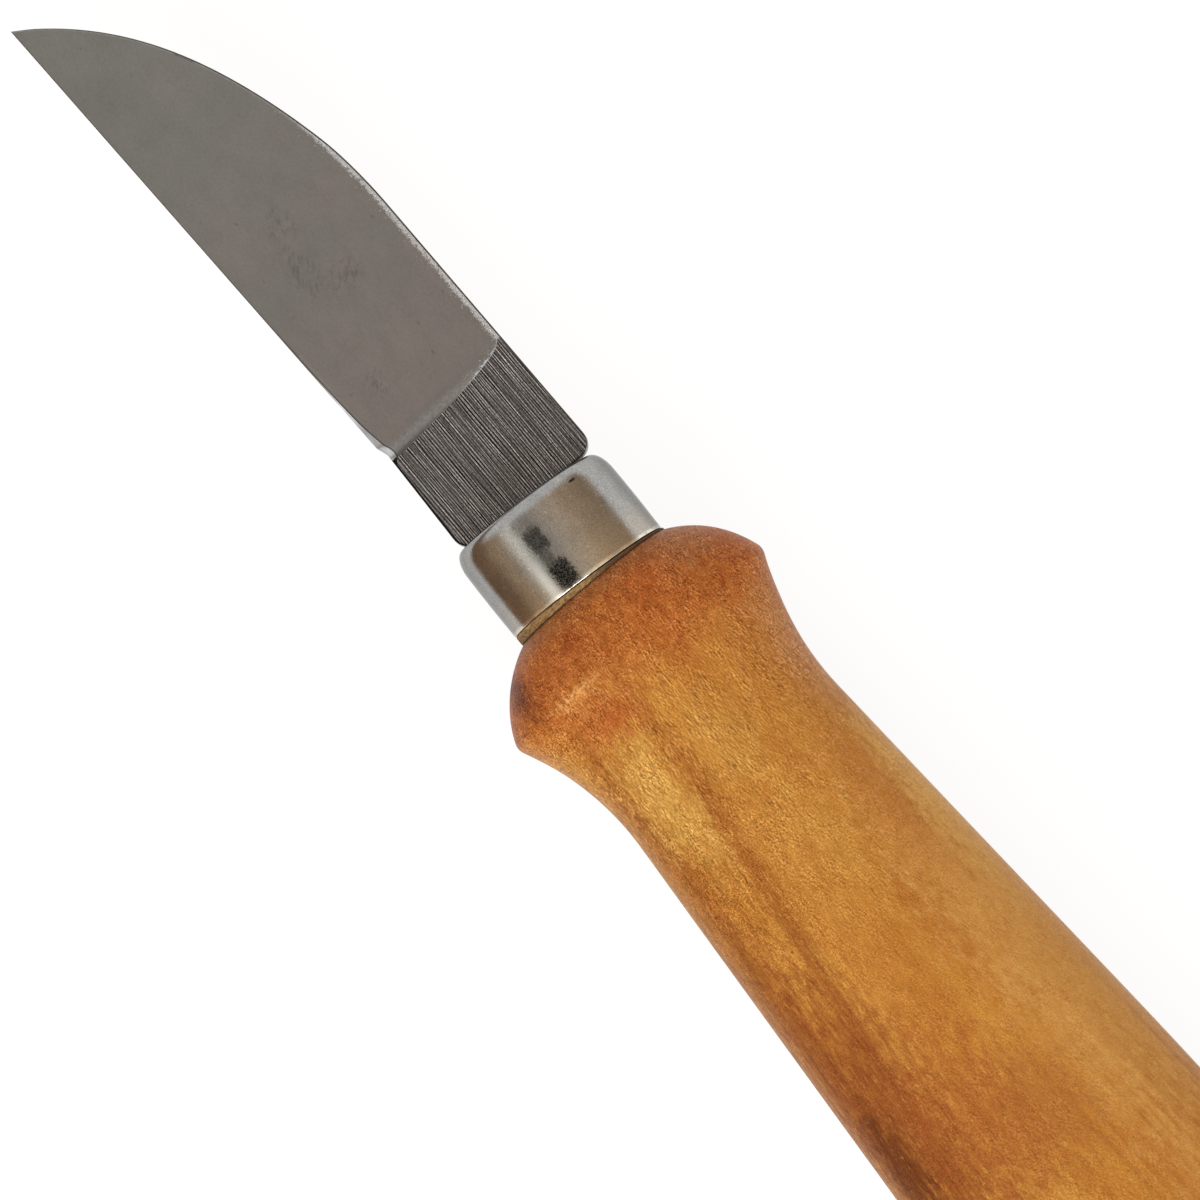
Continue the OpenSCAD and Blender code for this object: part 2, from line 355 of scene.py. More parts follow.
def build_blade(ground, ricasso, honed, rim):
    """One mesh for the whole blade: two mirrored faces, the rim between them and the hidden tang."""
    x, plunge = blade_columns()
    columns, rows = x.shape
    offset = np.array([row_offsets(column) for column in x])
    low, high = lower_outline(x), upper_outline(x)
    half = blade_half(x, offset)
    side = np.stack([x, low + offset, half], axis=-1).reshape(-1, 3)
    n = len(side)
    points = np.concatenate([side, side * (1, 1, -1), tang_points()])

    faces, kinds = [], []
    for face in grid_faces(columns, rows, wrap_sides=False):
        column, row = divmod(face[0], rows)
        if row >= FIRST_ROUND_ROW or (row < HONE_ROWS and side[face[0]][0] > FACET_END):
            kind = RIM
        elif row < HONE_ROWS:
            kind = HONED
        else:
            kind = HEEL if column < RICASSO_COLUMNS else GROUND
        faces += [face, tuple(i + n for i in reversed(face))]
        kinds += [kind, kind]
    rear = range(rows)
    lower = range(0, n, rows)
    upper = range(rows - 1, n, rows)
    for line in (rear, lower, upper):
        for a, b in zip(line, line[1:]):
            faces.append((a, b, b + n, a + n))
            kinds.append(RIM)
    tang, tang_top = 2 * n, 2 * n + TANG_CORNERS
    faces += [tuple(range(tang, tang_top)), tuple(range(tang_top, tang_top + TANG_CORNERS))]
    faces += grid_faces(2, TANG_CORNERS, start=tang)
    kinds += [HEEL] * (TANG_CORNERS + 2)

    behind, _ = edge_frame(x, low + offset)
    measures = {
        "spine_gap": high - low - offset,
        "edge_gap": offset - edge_width(x),
        "plunge_gap": plunge - x,
        "wheel_corner": np.clip(behind / PLUNGE_R, 0, 1),
    }
    hidden = np.zeros(2 * TANG_CORNERS)
    attributes = {key: np.concatenate([m.ravel(), m.ravel(), hidden]) for key, m in measures.items()}
    materials = (ground, ricasso, honed, rim)
    add_piece("carving_blade", "blade", points, faces, materials, kinds, attributes)


# The ferrule

ROUND_SIDES = 192
TURNS = 2 * math.pi * np.arange(ROUND_SIDES) / ROUND_SIDES

# Rings of the ferrule: shares of the way out over its front, counts, and gaps to the ends of the bore
FRONT_SHARES = (0, 0.03, 0.4, 0.8)
FERRULE_RINGS, FRONT_ARC, SMALL_ARC, BORE_RINGS = 24, 28, 8, 4
BORE_REAR_GAP, BORE_FRONT_GAP = 1.0, 0.5


def ring(x, y, z):
    return np.stack(np.broadcast_arrays(x, y, z), axis=-1)


def circle(x, r):
    return ring(x, r * np.cos(TURNS), r * np.sin(TURNS))


def slot_ring(x):
    """The tang's slot, met by the same rays as the circles."""
    half_w, half_t = TANG_W / 2 + SLOT_GAP, TANG_T / 2 + SLOT_GAP
    reach = 1 / np.maximum(np.abs(np.cos(TURNS)) / half_w, np.abs(np.sin(TURNS)) / half_t)
    return circle(x, reach)


def arc(centre, length, r, start, end, steps):
    """Points (x, radius) on an arc of an ellipse in the plane of the axis, by angle from the front."""
    angles = np.radians(np.linspace(start, end, steps))
    return [(centre[0] - length * math.cos(a), centre[1] + r * math.sin(a)) for a in angles]


def build_ferrule(plating):
    """A cup with a slot in its front wall, a little crowned, that sits slightly askew."""
    end_r = FERRULE_R - FERRULE_CROWN
    front_r = end_r - FERRULE_ROUND
    bore_front = FERRULE_WALL + BORE_ROUND
    front = [slot_ring(0) + (circle(0, front_r) - slot_ring(0)) * s for s in FRONT_SHARES]
    body = np.linspace(FERRULE_ROUND_LEN, FERRULE_LEN - LIP_R, FERRULE_RINGS)
    middle, reach = (body[0] + body[-1]) / 2, (body[-1] - body[0]) / 2
    profile = arc((FERRULE_ROUND_LEN, front_r), FERRULE_ROUND_LEN, FERRULE_ROUND, 0, 90, FRONT_ARC)
    profile += [(x, FERRULE_R - FERRULE_CROWN * ((x - middle) / reach) ** 2) for x in body[1:-1]]
    profile += arc((FERRULE_LEN - LIP_R, end_r - LIP_R), LIP_R, LIP_R, 90, 180, SMALL_ARC)
    profile += [(FERRULE_LEN, TENON_R + LIP_R), (FERRULE_LEN - LIP_R / 2, TENON_R)]
    bore = np.linspace(FERRULE_LEN - BORE_REAR_GAP, bore_front + BORE_FRONT_GAP, BORE_RINGS)
    profile += [(x, TENON_R) for x in bore]
    profile += reversed(arc((bore_front, TENON_R - BORE_ROUND), BORE_ROUND, BORE_ROUND, 0, 90, SMALL_ARC))
    rings = front + [circle(x, r) for x, r in profile] + [slot_ring(FERRULE_WALL)]
    faces = grid_faces(len(rings), ROUND_SIDES, wrap_rows=True)
    points = np.concatenate(rings)
    skew = FERRULE_SKEW * points[:, 1]
    points[:, 1] += FERRULE_LEAN * (points[:, 0] - FERRULE_LEN / 2)
    points[:, 0] += skew
    kinds = [0] * len(faces)
    add_piece("plated_ferrule", "ferrule", points, faces, (plating,), kinds, {})


# The handle

EASE_LEN = BELLY_X - WAIST_X - FLANK_LEN
BUTT_LEN = HANDLE_LEN - BELLY_X

# Points of the bare ring: share of the way from the ferrule to the dome, and depth below its radius
BARE_PROFILE = ((0, 0.12), (0, 0.02), (0.12, 0), (0.8, 0), (0.95, 0.03), (1, 0.14))
SEAM_STEP = 0.1

# Grime and painted shade on each ring of points from the ferrule back. The first SEAM_RINGS lie in the
# ferrule's seam, which is clean on the edge's side, where the cosine of the turn from the spine is low.
RING_GRIME_AND_SHADE = (1, 0.7, 0, 0, 0.5, 1, 1, 0.7, 0.4, 0.15)
SEAM_RINGS, SEAM_CLEAN, SEAM_DARK = 2, -0.75, -0.3

# Counts of rings along the handle, and how they crowd at the start of the dome and the flare
TENON_ARC, DOME_RINGS, FLARE_RINGS, BODY_RINGS, BUTT_RINGS = 6, 40, 60, 40, 40
DOME_CROWDING, FLARE_CROWDING = 1.4, 1.3

# The running mean at the ridge: samples, and how far behind it they are used, in RIDGE_SOFT
SOFT_SAMPLES, SOFT_REACH = 11, 4

# The handle's materials, in their order
OILED, BARE = range(2)


def flank(x, waist, belly):
    """Half a size across the handle: straight flanks that ease into the belly."""
    slope = (belly - waist) / (2 * FLANK_LEN + EASE_LEN)
    run = np.minimum(x, BELLY_X) - WAIST_X
    over = np.maximum(0, run - FLANK_LEN)
    return waist / 2 + slope * (run - over**2 / (2 * EASE_LEN))


def flared(x, ridge, waist, belly):
    """The same with the hollow flare up to the ridge and the rounding of the butt."""
    rise = ridge / 2 - flank(RIDGE_X, waist, belly)
    hollow = rise * np.maximum(0, 1 - (x - RIDGE_X) / FLARE_LEN) ** 2
    left = 1 - np.maximum(0, (x - BELLY_X) / BUTT_LEN) ** BUTT_POWER
    return (flank(x, waist, belly) + hollow) * np.sqrt(np.maximum(0, left))


def dome(x, ridge):
    """The arc between the bare ring and the ridge, whose thickness follows in proportion."""
    start, end = np.array([RING_LEN, RING_R]), np.array([RIDGE_X, RIDGE_W / 2])
    chord = end - start
    depth = math.sqrt(DOME_R**2 - chord @ chord / 4)
    centre = (start + end) / 2 + np.array([chord[1], -chord[0]]) / np.linalg.norm(chord) * depth
    w = centre[1] + np.sqrt(np.maximum(0, DOME_R**2 - (x - centre[0]) ** 2))
    return RING_R + (w - RING_R) * (ridge / 2 - RING_R) / (RIDGE_W / 2 - RING_R)


def half_size(x, ridge, waist, belly):
    """Half a size behind the bare ring, with the ridge softened by a short running mean."""
    near_ridge = x < RIDGE_X + SOFT_REACH * RIDGE_SOFT
    places = x + (RIDGE_SOFT * np.linspace(-1, 1, SOFT_SAMPLES) if near_ridge else np.zeros(1))
    sizes = np.where(places < RIDGE_X, dome(places, ridge), flared(places, ridge, waist, belly))
    return float(sizes.mean())


def signed_power(value, power):
    return np.sign(value) * np.abs(value) ** power


def lean(x):
    """The y of the handle's middle, which lies a little to the edge's side, most at the ridge."""
    ridge = smooth(x, RING_LEN, RIDGE_X) * (1 - smooth(x, RIDGE_X, RIDGE_X + RIDGE_LEAN_LEN))
    neck = smooth(x, 0, RIDGE_X) * (1 - smooth(x, WAIST_X, NECK_LEAN_END))
    return RIDGE_LEAN * ridge + NECK_LEAN * neck


def section(x):
    """A ring of the handle's outer form."""
    grown = min(1, max(0, (x - RING_LEN) / (RIDGE_X - RING_LEN)))
    power = 2 / (2 + (SECTION_POWER - 2) * grown)
    w = half_size(x, RIDGE_W, WAIST_W, BELLY_W)
    t = half_size(x, RIDGE_T, WAIST_T, BELLY_T)
    y = w * signed_power(np.cos(TURNS), power) + lean(x)
    z = t * signed_power(np.sin(TURNS), power)
    return ring(FERRULE_LEN + x, y, z)


def handle_rings():
    """All rings from the bottom of the tang's hole, over the tenon and the outside, to the butt."""
    tenon = [circle(HOLE_END, HOLE_R), circle(FERRULE_WALL, HOLE_R)]
    centre = (FERRULE_WALL + TENON_ROUND, TENON_R - TENON_ROUND)
    tenon += [circle(x, r) for x, r in arc(centre, TENON_ROUND, TENON_ROUND, 0, 90, TENON_ARC)]
    seam = FERRULE_LEN + SEAM_GAP + FERRULE_SKEW * RING_R * np.cos(TURNS)
    ring_end = FERRULE_LEN + RING_LEN
    tenon += [circle(seam - SEAM_STEP, TENON_R), circle(seam, TENON_R + SEAM_STEP)]
    bare = [circle(seam + (ring_end - seam) * share, RING_R - depth) for share, depth in BARE_PROFILE]
    dome_shares = (np.arange(DOME_RINGS + 1) / DOME_RINGS) ** DOME_CROWDING
    flare_shares = (np.arange(1, FLARE_RINGS + 1) / FLARE_RINGS) ** FLARE_CROWDING
    flare_end = RIDGE_X + FLARE_LEN
    butt_turns = np.pi / 2 * np.arange(1, BUTT_RINGS) / BUTT_RINGS
    places = np.concatenate([
        RING_LEN + (RIDGE_X - RING_LEN) * dome_shares,
        RIDGE_X + FLARE_LEN * flare_shares,
        flare_end + (BELLY_X - flare_end) * np.arange(1, BODY_RINGS + 1) / BODY_RINGS,
        BELLY_X + BUTT_LEN * np.sin(butt_turns) ** (2 / BUTT_POWER),
    ])
    return tenon, bare, [section(x) for x in places]


def build_handle(wood, bare_wood):
    """One closed mesh: the hole for the tang, the tenon, the bare ring and the oiled outside."""
    tenon, bare, outside = handle_rings()
    rings = tenon + bare + outside
    points = np.concatenate([[(HOLE_END, 0, 0)]] + rings + [[(FERRULE_LEN + HANDLE_LEN, 0, 0)]])
    last_ring = 1 + (len(rings) - 1) * ROUND_SIDES
    faces = [(0, 1 + (k + 1) % ROUND_SIDES, 1 + k) for k in range(ROUND_SIDES)]
    faces += grid_faces(len(rings), ROUND_SIDES, start=1)
    end = len(points) - 1
    faces += [(last_ring + k, last_ring + (k + 1) % ROUND_SIDES, end) for k in range(ROUND_SIDES)]
    bare_faces = ROUND_SIDES * (len(tenon) + len(bare) + 1)
    kinds = [BARE] * bare_faces + [OILED] * (len(faces) - bare_faces)
    # grime and painted shade in the seams, by point
    seam = np.zeros(len(points))
    first = 1 + len(tenon) * ROUND_SIDES
    dark = smooth(np.cos(TURNS), SEAM_CLEAN, SEAM_DARK)
    for i, grime in enumerate(RING_GRIME_AND_SHADE):
        on_ring = slice(first + i * ROUND_SIDES, first + (i + 1) * ROUND_SIDES)
        seam[on_ring] = grime * (dark if i < SEAM_RINGS else 1)
    materials = (wood, bare_wood)
    add_piece("wooden_handle", "handle", points, faces, materials, kinds, {"seam": seam})


# Materials


def srgb(r, g, b):
    """Linear RGBA of an 8-bit sRGB colour."""
    shares = [v / 255 for v in (r, g, b)]
    return (*[v / 12.92 if v <= 0.04045 else ((v + 0.055) / 1.055) ** 2.4 for v in shares], 1)


def grey(level):
    return (level, level, level, 1)


def grey_range(dark, light):
    """Stops of a ramp over a noise, from one grey to another."""
    return [(0.3, grey(dark)), (0.7, grey(light))]


def about_one(dark, light):
    """Stops of a ramp that darkens where a noise is low and lightens where it is high."""
    return [(0.3, (*dark, 1)), (0.5, grey(1)), (0.7, (*light, 1))]


class Value:
    """A node's output. Arithmetic on it adds nodes to its tree."""

    def __init__(self, tree, socket):
        self.tree = tree
        self.socket = socket

    def math(self, operation, other=0, clamp=False):
        return self.tree.value("Math", {0: self, 1: other}, operation=operation, use_clamp=clamp)

    __add__ = partialmethod(math, "ADD")
    __sub__ = partialmethod(math, "SUBTRACT")
    __mul__ = partialmethod(math, "MULTIPLY")
    __abs__ = partialmethod(math, "ABSOLUTE")
    larger = partialmethod(math, "MAXIMUM")

    def centred(self, size):
        """A noise turned into an offset about 0."""
        return (self - 0.5) * size

    def band(self, low, high, to_low=0, to_high=1):
        """A smooth step from to_low at low to to_high at high."""
        inputs = {"Value": self, "From Min": low, "From Max": high, "To Min": to_low, "To Max": to_high}
        return self.tree.value("MapRange", inputs, "Result", interpolation_type="SMOOTHSTEP")

    def ramp(self, stops):
        node = self.tree.node("ValToRGB", {0: self})
        elements = node.color_ramp.elements
        while len(elements) < len(stops):
            elements.new(0.5)
        for element, (position, colour) in zip(elements, stops):
            element.position = position
            element.color = colour
        return Value(self.tree, node.outputs[0])

    def under(self, *layers):
        """This colour, mixed with one tone after another, each by its own factor."""
        return reduce(lambda colour, layer: self.tree.mix(layer[1], colour, layer[0]), layers, self)

    def shade(self, noise, stops, strength=1):
        """This colour, multiplied by a ramp over a noise."""
        return self.tree.mix(strength, self, noise.ramp(stops), "MULTIPLY")


class Tree:
    """A node tree, with short calls for the few kinds of node used here."""

    def __init__(self, tree):
        self.tree = tree

    def feed(self, socket, value):
        """Sets a socket from a node's output or from a plain value."""
        if isinstance(value, Value):
            self.tree.links.new(value.socket, socket)
        else:
            socket.default_value = value

    def node(self, kind, inputs, **settings):
        """A new node, whose inputs are fed by name or number."""
        node = self.tree.nodes.new("ShaderNode" + kind)
        for key, value in settings.items():
            setattr(node, key, value)
        for key, value in inputs.items():
            self.feed(node.inputs[key], value)
        return node

    def value(self, kind, inputs, output=0, **settings):
        return Value(self, self.node(kind, inputs, **settings).outputs[output])

    def vector(self, operation, *inputs, output="Vector"):
        return self.value("VectorMath", dict(enumerate(inputs)), output, operation=operation)

    def split(self, vector):
        return [Value(self, socket) for socket in self.node("SeparateXYZ", {0: vector}).outputs]

    def mix(self, factor, a, b, blend="MIX"):
        return self.value("Mix", {"Factor": factor, 6: a, 7: b}, 2, data_type="RGBA", blend_type=blend)


class Look(Tree):
    """A material around one Principled shader, with places in millimetres on the knife's axis."""

    def __init__(self, name, **sockets):
        self.material = bpy.data.materials.new(name)
        self.material.use_nodes = True
        super().__init__(self.material.node_tree)
        self.shader = self.tree.nodes["Principled BSDF"]
        self.place = self.value("Mapping", {
            "Vector": self.value("TexCoord", {}, "Object"),
            "Location": -AXIS_ORIGIN / MM,
            "Scale": (1 / MM,) * 3,
        })
        self.x, self.y, self.z = self.split(self.place)
        self.set(**sockets)

    def set(self, **sockets):
        for key, value in sockets.items():
            self.feed(self.shader.inputs[key.replace("_", " ")], value)
        return self.material

    def attribute(self, name):
        return self.value("Attribute", {}, "Fac", attribute_name=name)

    def turned(self, degrees):
        """The place seen along lines that rise by this angle towards the spine."""
        return self.value("Mapping", {"Vector": self.place, "Rotation": (0, 0, -math.radians(degrees))})

    def noise(self, along, across, place=None, seed=0, detail=2, rough=0.5, up=None):
        """4-D noise of a place scaled along x and across in y and z. Its 4th coordinate is the seed."""
        scales = (along, across, across if up is None else up)
        scaled = self.vector("MULTIPLY", place or self.place, scales)
        inputs = {"Vector": scaled, "W": seed, "Scale": 1, "Detail": detail, "Roughness": rough}
        return self.value("TexNoise", inputs, "Fac", noise_dimensions="4D")

    def relief(self, shift, along, across, place, **options):
        """How much a noise rises over a short shift, about 0.5: fine ridges lit from one side."""
        ahead = self.noise(along, across, self.vector("ADD", place, shift), **options)
        return ahead - self.noise(along, across, place, **options) + 0.5

    def blob(self, centre, radii, wander, inner=0.25, outer=1.25, boxy=False):
        """1 well inside an ellipsoid or a rounded box and 0 outside it, with a soft edge that wanders."""
        shift = [-c / r for c, r in zip(centre, radii)]
        offset = self.vector("MULTIPLY_ADD", self.place, [1 / r for r in radii], shift)
        if boxy:
            offset = self.vector("MULTIPLY", offset, offset)
        return (self.vector("LENGTH", offset, output="Value") + wander).band(outer, inner)

    def bump(self, height, depth):
        """Bump whose height of 1 is depth millimetres."""
        inputs = {"Strength": 1, "Distance": depth * MM, "Height": height}
        self.set(Normal=self.value("Bump", inputs))


# The ground faces: a stain and scuffed places (centre and radii), and where other wear and the painted
# shade in the wheel's corner fade in
BLADE_STAIN = ((-24, -1.2, 0), (4, 2.4, 4))
BLADE_SCUFFS = [
    ((-26.6, -0.6, 0), (1.6, 1.3, 4)),
    ((-23.2, -1.5, 0), (3, 1.4, 4)),
    ((-21, 0.7, 0), (1.3, 1.5, 4)),
    ((-13.3, -2.5, 0), (1.4, 1.3, 4)),
]
SCUFF_ANGLE = -35
NICK_START_X, NICK_END_X, NICK_SPINE_GAP = (-41.3, -40.9), (-39.3, -40.2), (0.3, 0.12)
CORNER_SHADE_SPAN = (0.08, 0.38)
EDGE_LINE_GAP, EDGE_LINE_X = (0.13, 0.05), (-24, -14)
BURR_X, BURR_OUT, BURR_IN = (-34, -27), 0.3, 0.1
TORN_Y, TORN_SOFT = (1, 5), 0.04
CHIPS_X, CHIPS_SPINE_GAP = (-40, -26), (1.3, 0.2)
CHIPS_Y, CHIPS_PLUNGE_GAP = (0, 4), (1.1, 0.2)


def face_wear(look, colour, cloud):
    """A faint stain, places with short scuffs, and scattered pits."""
    stain = look.blob(*BLADE_STAIN, cloud.centred(1.6))
    scuffed = [look.blob(*place, cloud.centred(1.2), inner=0.4) for place in BLADE_SCUFFS]
    scuffs = look.noise(1.5, 4, look.turned(SCUFF_ANGLE), seed=31, detail=4, rough=0.7)
    scuffs = scuffs.band(0.47, 0.64) * reduce(Value.larger, scuffed)
    pits = look.noise(1.3, 2.2, seed=3, detail=3).band(0.67, 0.75)
    return colour.under((grey(0.12), stain * 0.06), (grey(0.11), scuffs * 0.42), (grey(0.12), pits * 0.4))


def face_edges(look, colour, ragged):
    """A nick at the spine, painted shade on the wheel's curved corner and a dark line along the edge."""
    nick = look.x.band(*NICK_START_X) * look.x.band(*NICK_END_X)
    nick = nick * look.attribute("spine_gap").band(*NICK_SPINE_GAP)
    # painted shade on the wheel's curved corner
    corner_shade = ragged.ramp([(0.35, (0.17, 0.156, 0.142, 1)), (0.65, (0.285, 0.266, 0.246, 1))])
    line = look.attribute("edge_gap").band(*EDGE_LINE_GAP) * look.x.band(*EDGE_LINE_X)
    corner = look.attribute("wheel_corner").band(*CORNER_SHADE_SPAN)
    return colour.under((grey(0.02), nick * 0.85), (corner_shade, corner), (grey(0.03), line * 0.8))


def face_burr(look, ragged):
    """1 on the torn burr along the spine and the end of the grind, and on chips near both."""
    spine_gap, plunge_gap = look.attribute("spine_gap"), look.attribute("plunge_gap")
    reach = look.x.band(*BURR_X) * ragged.band(0.32, 0.66, 0.16, 0.4)
    burr = spine_gap.band(reach + BURR_OUT, reach - BURR_IN) * ragged.band(0.38, 0.56, 0.35, 1)
    torn = look.y.band(*TORN_Y) * ragged.band(0.4, 0.66, 0, 0.3)
    near_spine = spine_gap.band(*CHIPS_SPINE_GAP) * look.x.band(*CHIPS_X)
    near_heel = plunge_gap.band(*CHIPS_PLUNGE_GAP) * look.y.band(*CHIPS_Y)
    chips = look.noise(4.5, 6, seed=20).band(0.62, 0.7) * near_spine.larger(near_heel)
    return burr.larger(plunge_gap.band(torn + TORN_SOFT, torn)).larger(chips)


def ground_steel():
    """The main bevels: matte grey, warmer to the heel, with scuffed places, pits and a burr at the spine.
    """
    look = Look("ground_steel", Metallic=1)
    mottle = look.noise(0.16, 0.2, seed=1, detail=5, rough=0.6)
    grain = look.noise(5, 7, seed=2)
    cloud = look.noise(0.5, 0.8, seed=17, detail=4)
    ragged = look.noise(3.4, 4.2, seed=4, detail=5, rough=0.8)
    burr = face_burr(look, ragged)
    warm = (look.x * 0.03 + mottle * 2.2).band(-0.2, 1)
    colour = look.mix(warm, (0.272, 0.28, 0.28, 1), (0.272, 0.254, 0.249, 1))
    colour = colour.shade(grain, grey_range(0.93, 1.05)).shade(cloud, grey_range(0.95, 1.04))
    colour = face_edges(look, face_wear(look, colour, cloud), ragged)
    colour = colour.under(((0.62, 0.65, 0.68, 1), burr * 0.85))
    look.bump(grain * 0.3 + burr * ragged, 0.02)
    return look.set(Base_Color=colour, Roughness=mottle.band(0.2, 0.8, 0.34, 0.42))


LINES_ANGLE, LINES_PER_MM = 0.4, 5


def brushed_steel():
    """The flat heel: dark steel with dense fine lines drawn along the blade, each painted lit on one side
    and shaded on the other, and a few deep scratches.
    """
    look = Look("brushed_heel_steel", Metallic=1, Roughness=0.42)
    drawn = look.turned(LINES_ANGLE)
    # painted light and shade: the relief lights one side of each fine line and shades the other
    loose = look.relief((0, 0.04, 0), 0.16, 12.5, drawn, seed=5.4, detail=1, rough=0.8, up=0)
    uneven = look.noise(0.1, 1.2, drawn, seed=32, up=0)
    phase = look.split(drawn)[1] * (2 * math.pi * LINES_PER_MM) + uneven * 12
    lines = loose.centred(0.6) + phase.math("SINE") * 0.07 + 0.5
    deep = look.noise(0.05, 9, drawn, seed=6.3, detail=0, up=0).band(0.7, 0.76)
    speck = look.noise(8, 12, seed=18)
    colour = lines.ramp([
        (0.425, grey(0.002)), (0.475, (0.11, 0.109, 0.112, 1)),
        (0.55, (0.19, 0.189, 0.196, 1)), (0.64, (0.66, 0.67, 0.71, 1)),
    ])
    colour = colour.under((grey(0.01), deep * 0.4)).shade(speck, grey_range(0.35, 1.65))
    look.bump(lines - deep, 0.004)
    return look.set(Base_Color=colour)


HONE_BRIGHT_X, HONE_GREY_X = (-18, -13), (HEEL_X - 0.1, HEEL_X + 0.2)


def honed_steel():
    """The stoned edge: a fine bright strip, brightest in front of the heel and grey over its step."""
    look = Look("honed_steel", Metallic=1, Roughness=0.24)
    streaks = look.noise(1, 6, seed=7, detail=3, up=2)
    bright = streaks.ramp([(0.35, (0.58, 0.62, 0.7, 1)), (0.65, (0.8, 0.86, 0.97, 1))])
    colour = look.mix(look.x.band(*HONE_BRIGHT_X), (0.16, 0.15, 0.14, 1), bright)
    stepped = look.mix(streaks, grey(0.3), grey(0.75))
    colour = colour.under((stepped, look.x.band(*HONE_GREY_X)))
    look.bump(streaks, 0.004)
    return look.set(Base_Color=colour)


DARK_REFLECTION_X, DARK_REFLECTION_Y = (-9.4, -8.6), (-2, -4)


def dark_rim():
    """The rounded edges and the narrow back of the blade, with a painted dark reflection that is black
    along the heel's corners.
    """
    look = Look("blade_rim_steel", Metallic=1, Roughness=0.35)
    patches = look.noise(0.5, 5, seed=8, detail=3)
    corner = abs(look.z).band(BLADE_HALF - 2 * RICASSO_ROUND, BLADE_HALF - RICASSO_ROUND)
    # painted dark reflection, black along the heel's lower rounded edge
    heel = look.x.band(*DARK_REFLECTION_X) * look.y.band(*DARK_REFLECTION_Y)
    colour = patches.ramp([(0.3, grey(0.07)), (0.75, grey(0.15))])
    look.bump(patches, 0.006)
    return look.set(Base_Color=colour.under((grey(0.012), heel * corner)))


# Dark marks on the ferrule (centre, radii and strength), a dash and a strip of painted highlight (centre
# and radii)
FERRULE_MARKS = [
    ((2.98, -0.98, 6.4), (0.95, 0.7, 3), 0.82),
    ((6.05, -0.95, 6.4), (1.1, 0.8, 3), 1),
    ((4.4, -1.15, 6.4), (1.2, 0.45, 3), 0.55),
]
FERRULE_DASH = ((1.2, 3.7, 5.4), (0.11, 0.32, 1))
FERRULE_SHEEN_STRIP = ((6.1, -2.3, 6.1), (2.2, 0.5, 2))
# Where the painted reflection of the wood and the painted shade on the spine's side fade in
FERRULE_WOOD_REFLECTION_X, FERRULE_SHADE_Y = (4, 7.2), (5.6, 6.3)


def plating_wear(look, colour, pebble):
    """Dark specks, pale glints, a strip of painted highlight and a broken painted highlight along the rear
    lip.
    """
    specks = look.noise(4, 5, seed=11, detail=1).band(0.68, 0.74)
    glints = look.noise(3.2, 4.2, seed=26, rough=0.7).band(0.62, 0.74)
    # painted highlight: a brighter strip where the studio's bright strip is reflected
    sheen_strip = look.blob(*FERRULE_SHEEN_STRIP, pebble.centred(2.6))
    broken_highlight = look.noise(2, 1.2, seed=34, detail=3, rough=0.7).band(0.35, 0.6, 0.3, 0.9)
    # painted highlight along the rear lip, broken into uneven parts
    lip = (look.x - look.y * FERRULE_SKEW).band(FERRULE_LEN - 3 * LIP_R, FERRULE_LEN - LIP_R)
    return colour.under(
        ((0.13, 0.12, 0.1, 1), specks * 0.5),
        ((0.72, 0.69, 0.58, 1), glints * 0.7),
        ((0.66, 0.67, 0.69, 1), sheen_strip * 0.36),
        ((0.95, 0.9, 0.76, 1), lip * broken_highlight),
    )


def plating_marks(look, pebble):
    """Up to 1 on the dark marks, which have ragged edges, and on the dash."""
    wander = look.noise(5, 8, seed=23, detail=4, rough=0.8).centred(4)
    marks = look.blob(*FERRULE_DASH, 0, inner=0.6, outer=1.1)
    for centre, radii, strength in FERRULE_MARKS:
        mark = look.blob(centre, radii, wander, inner=0.5, outer=1.5, boxy=True)
        marks = marks.larger(mark * strength)
    return marks * pebble.band(0.42, 0.66, 1, 0.66)


def nickel_plating():
    """The ferrule: pebbled plating with a painted reflection of the wood to the rear, painted shade on the
    spine's side and dark marks.
    """
    look = Look("nickel_plating", Metallic=1, Specular_Tint=grey(0.6))
    cloud = look.noise(0.7, 0.9, seed=9, detail=4, rough=0.6)
    pebble = look.noise(9, 9, seed=10, detail=3, rough=0.7)
    colour = cloud.ramp([(0.3, (0.31, 0.305, 0.295, 1)), (0.7, (0.4, 0.395, 0.38, 1))])
    colour = colour.under(
        # painted reflection of the handle's wood, warmer to the rear
        ((0.46, 0.42, 0.36, 1), look.x.band(*FERRULE_WOOD_REFLECTION_X, 0, 0.8)),
        # painted shade: the floor's shadow reflected along the spine's side
        ((0.21, 0.2, 0.19, 1), look.y.band(*FERRULE_SHADE_Y, 0, 0.45)),
    )
    colour = plating_wear(look, colour.shade(pebble, grey_range(0.68, 1.32)), pebble)
    colour = colour.under(((0.01, 0.01, 0.011, 1), plating_marks(look, pebble)))
    look.bump(pebble, 0.006)
    return look.set(Base_Color=colour, Roughness=cloud.band(0.3, 0.7, 0.13, 0.2))
